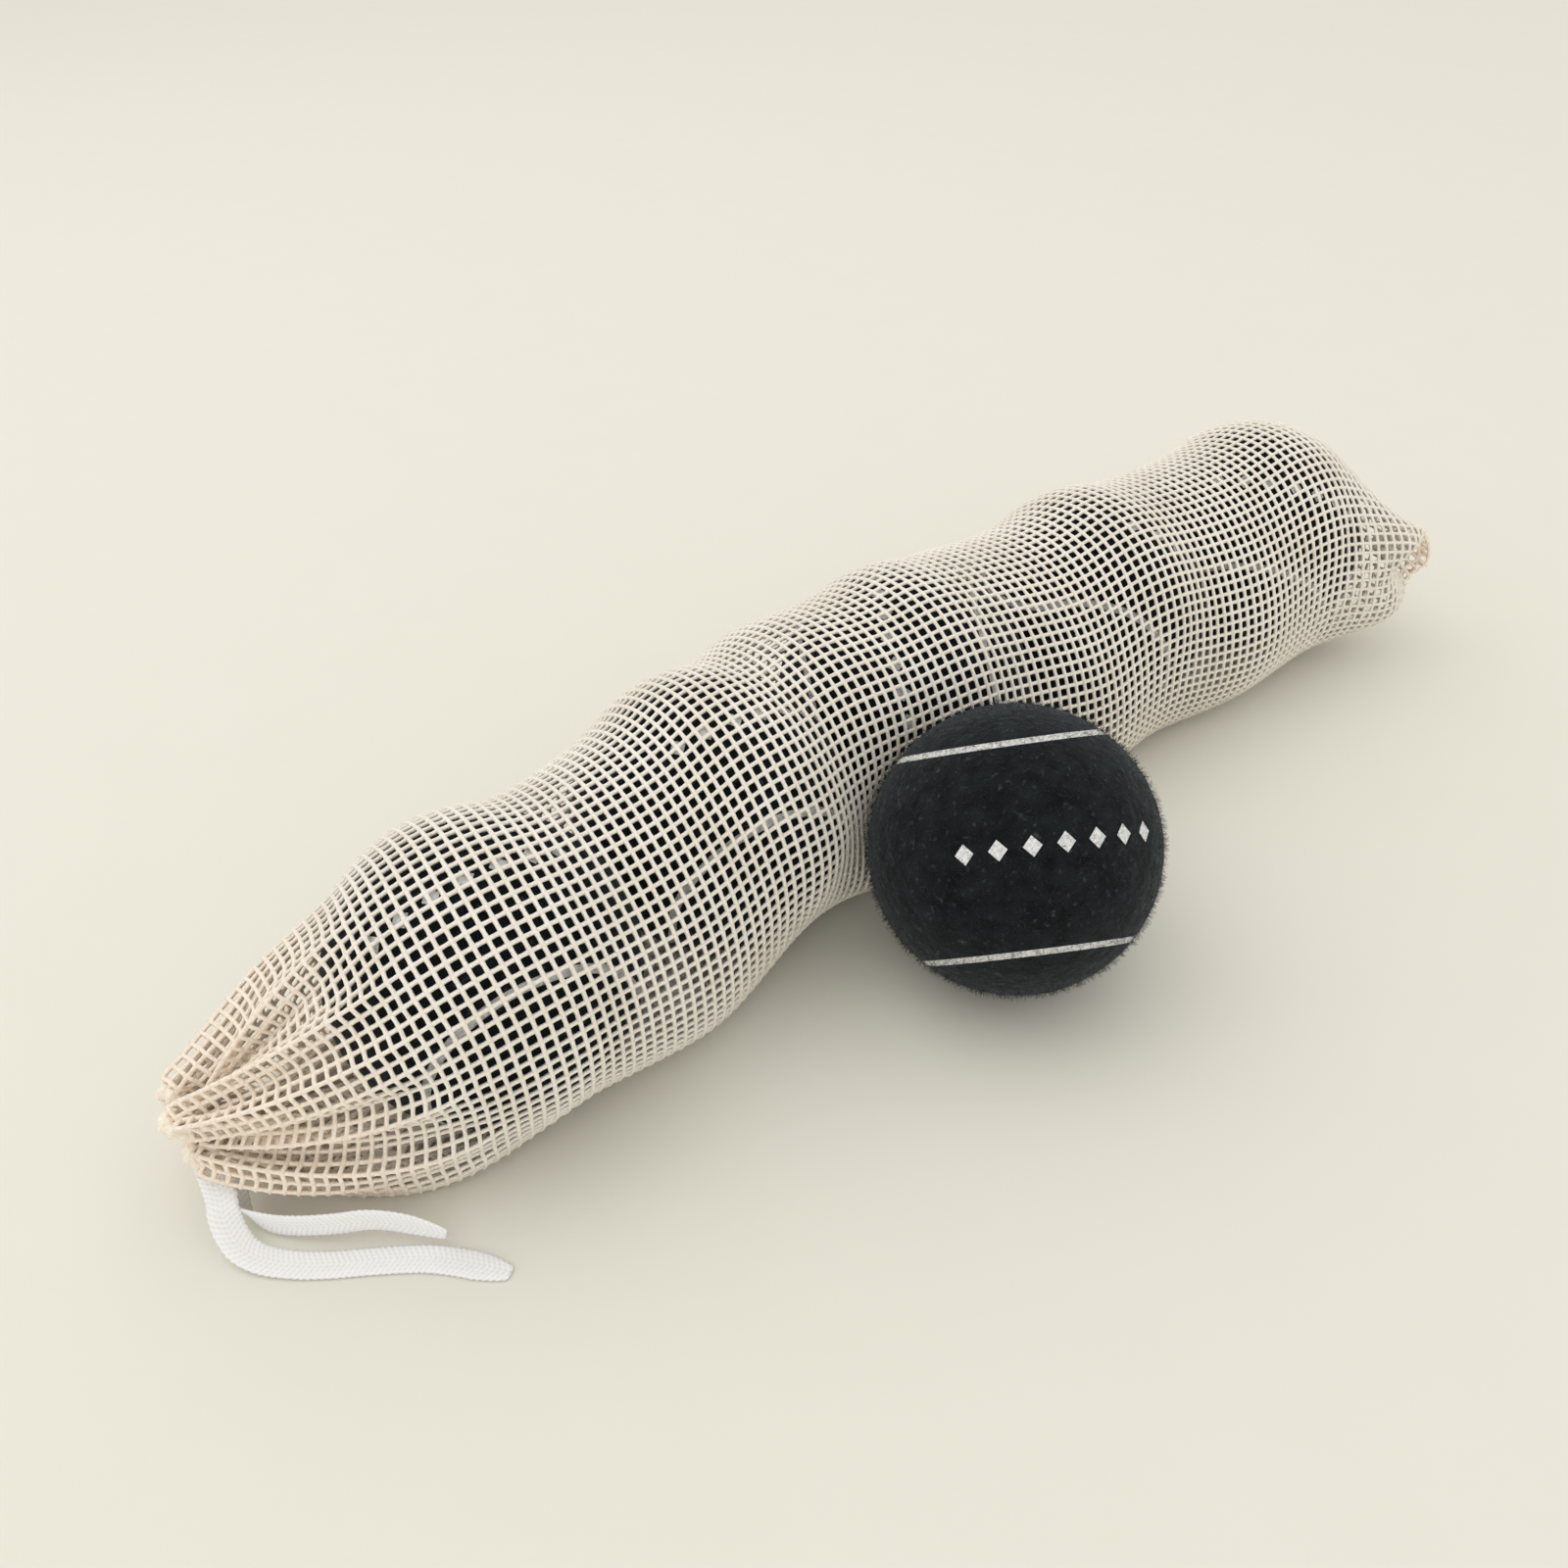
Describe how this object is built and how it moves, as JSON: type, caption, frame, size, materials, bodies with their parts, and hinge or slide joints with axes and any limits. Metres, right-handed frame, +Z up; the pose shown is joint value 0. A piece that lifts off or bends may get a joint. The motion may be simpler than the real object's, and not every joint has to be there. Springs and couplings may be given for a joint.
{
  "type": "laundry dryer ball set",
  "caption": "Black felt dryer balls with white seams, lying in a row in a cream cotton net drawstring bag, with a loose ball beside it.",
  "frame": {"origin": "on the floor, under the middle of the set without its drawstring ends", "axes": "+X along the bag from its mouth to its sewn bottom, +Z up, loose ball on the -Y side"},
  "size_m": [0.3722, 0.1272, 0.0674],
  "materials": {
    "felt": "matt brushed needle-punched felt",
    "seam_filler": "matt",
    "core_rubber": "matt moulded",
    "core_adhesive": "matt",
    "printed_mark": "flat ink",
    "cotton_net": "unbleached cotton mesh",
    "hem_stitching": "unbleached cotton, sewn double",
    "drawstring_tape": "woven cotton tape"
  },
  "bodies": {
    "segment_3": {"net_cell_3": "cotton_net"},
    "segment_4": {"net_cell_4": "cotton_net", "net_neck_34": "cotton_net"},
    "segment_5": {"net_cell_5": "cotton_net", "net_neck_45": "cotton_net", "net_tail": "cotton_net", "bottom_seam": "hem_stitching"},
    "segment_2": {"net_cell_2": "cotton_net", "net_neck_23": "cotton_net"},
    "segment_1": {"net_cell_1": "cotton_net", "net_neck_12": "cotton_net", "net_mouth": "cotton_net", "mouth_hem": "hem_stitching", "drawstring_loop": "drawstring_tape", "drawstring_end_arched": "drawstring_tape", "drawstring_end_flat": "drawstring_tape"},
    "ball_3": {"ball_3_core_upper": "core_rubber", "ball_3_core_lower": "core_rubber", "ball_3_core_bond": "core_adhesive", "ball_3_felt_panel_a": "felt", "ball_3_felt_panel_b": "felt", "ball_3_seam": "seam_filler", "ball_3_face_mark": "printed_mark"},
    "ball_4": {"ball_4_core_upper": "core_rubber", "ball_4_core_lower": "core_rubber", "ball_4_core_bond": "core_adhesive", "ball_4_felt_panel_a": "felt", "ball_4_felt_panel_b": "felt", "ball_4_seam": "seam_filler", "ball_4_face_mark": "printed_mark"},
    "ball_5": {"ball_5_core_upper": "core_rubber", "ball_5_core_lower": "core_rubber", "ball_5_core_bond": "core_adhesive", "ball_5_felt_panel_a": "felt", "ball_5_felt_panel_b": "felt", "ball_5_seam": "seam_filler", "ball_5_face_mark": "printed_mark"},
    "ball_2": {"ball_2_core_upper": "core_rubber", "ball_2_core_lower": "core_rubber", "ball_2_core_bond": "core_adhesive", "ball_2_felt_panel_a": "felt", "ball_2_felt_panel_b": "felt", "ball_2_seam": "seam_filler", "ball_2_face_mark": "printed_mark"},
    "ball_1": {"ball_1_core_upper": "core_rubber", "ball_1_core_lower": "core_rubber", "ball_1_core_bond": "core_adhesive", "ball_1_felt_panel_a": "felt", "ball_1_felt_panel_b": "felt", "ball_1_seam": "seam_filler", "ball_1_face_mark": "printed_mark"},
    "ball_loose": {"ball_loose_core_upper": "core_rubber", "ball_loose_core_lower": "core_rubber", "ball_loose_core_bond": "core_adhesive", "ball_loose_felt_panel_a": "felt", "ball_loose_felt_panel_b": "felt", "ball_loose_seam": "seam_filler", "ball_loose_face_mark": "printed_mark"}
  },
  "joints": [
    {"name": "neck_34", "type": "hinge", "parent": "segment_3", "child": "segment_4", "pos_m": [0.0124, 0.02991, 0.0337], "axis": [0, 0, 1], "range_deg": [-25, 25]},
    {"name": "neck_45", "type": "hinge", "parent": "segment_4", "child": "segment_5", "pos_m": [0.07937, 0.02429, 0.0337], "axis": [0, 0, 1], "range_deg": [-25, 25]},
    {"name": "neck_23", "type": "hinge", "parent": "segment_3", "child": "segment_2", "pos_m": [0.0124, 0.02991, 0.0337], "axis": [0, 0, 1], "range_deg": [-25, 2]},
    {"name": "neck_12", "type": "hinge", "parent": "segment_2", "child": "segment_1", "pos_m": [-0.05468, 0.02593, 0.0337], "axis": [0, 0, 1], "range_deg": [-25, 25]},
    {"name": "ball_1_turn", "type": "hinge", "parent": "segment_1", "child": "ball_1", "pos_m": [-0.12137, 0.01774, 0.0337], "axis": [0.9925, 0.1219, 0], "continuous": true},
    {"name": "ball_2_turn", "type": "hinge", "parent": "segment_2", "child": "ball_2", "pos_m": [-0.05468, 0.02593, 0.0337], "axis": [0.9982, 0.0593, 0], "continuous": true},
    {"name": "ball_3_turn", "type": "hinge", "parent": "segment_3", "child": "ball_3", "pos_m": [0.0124, 0.02991, 0.0337], "axis": [0.9965, -0.0837, 0], "continuous": true},
    {"name": "ball_4_turn", "type": "hinge", "parent": "segment_4", "child": "ball_4", "pos_m": [0.07937, 0.02429, 0.0337], "axis": [0.9952, -0.0976, 0], "continuous": true},
    {"name": "ball_5_turn", "type": "hinge", "parent": "segment_5", "child": "ball_5", "pos_m": [0.14625, 0.01773, 0.0337], "axis": [0.9952, -0.0976, 0], "continuous": true},
    {"name": "loose_ball_roll_away", "type": "slide", "parent": "segment_3", "child": "ball_loose", "axis": [0, -1, 0], "range_m": [0, 0.15]}
  ]
}
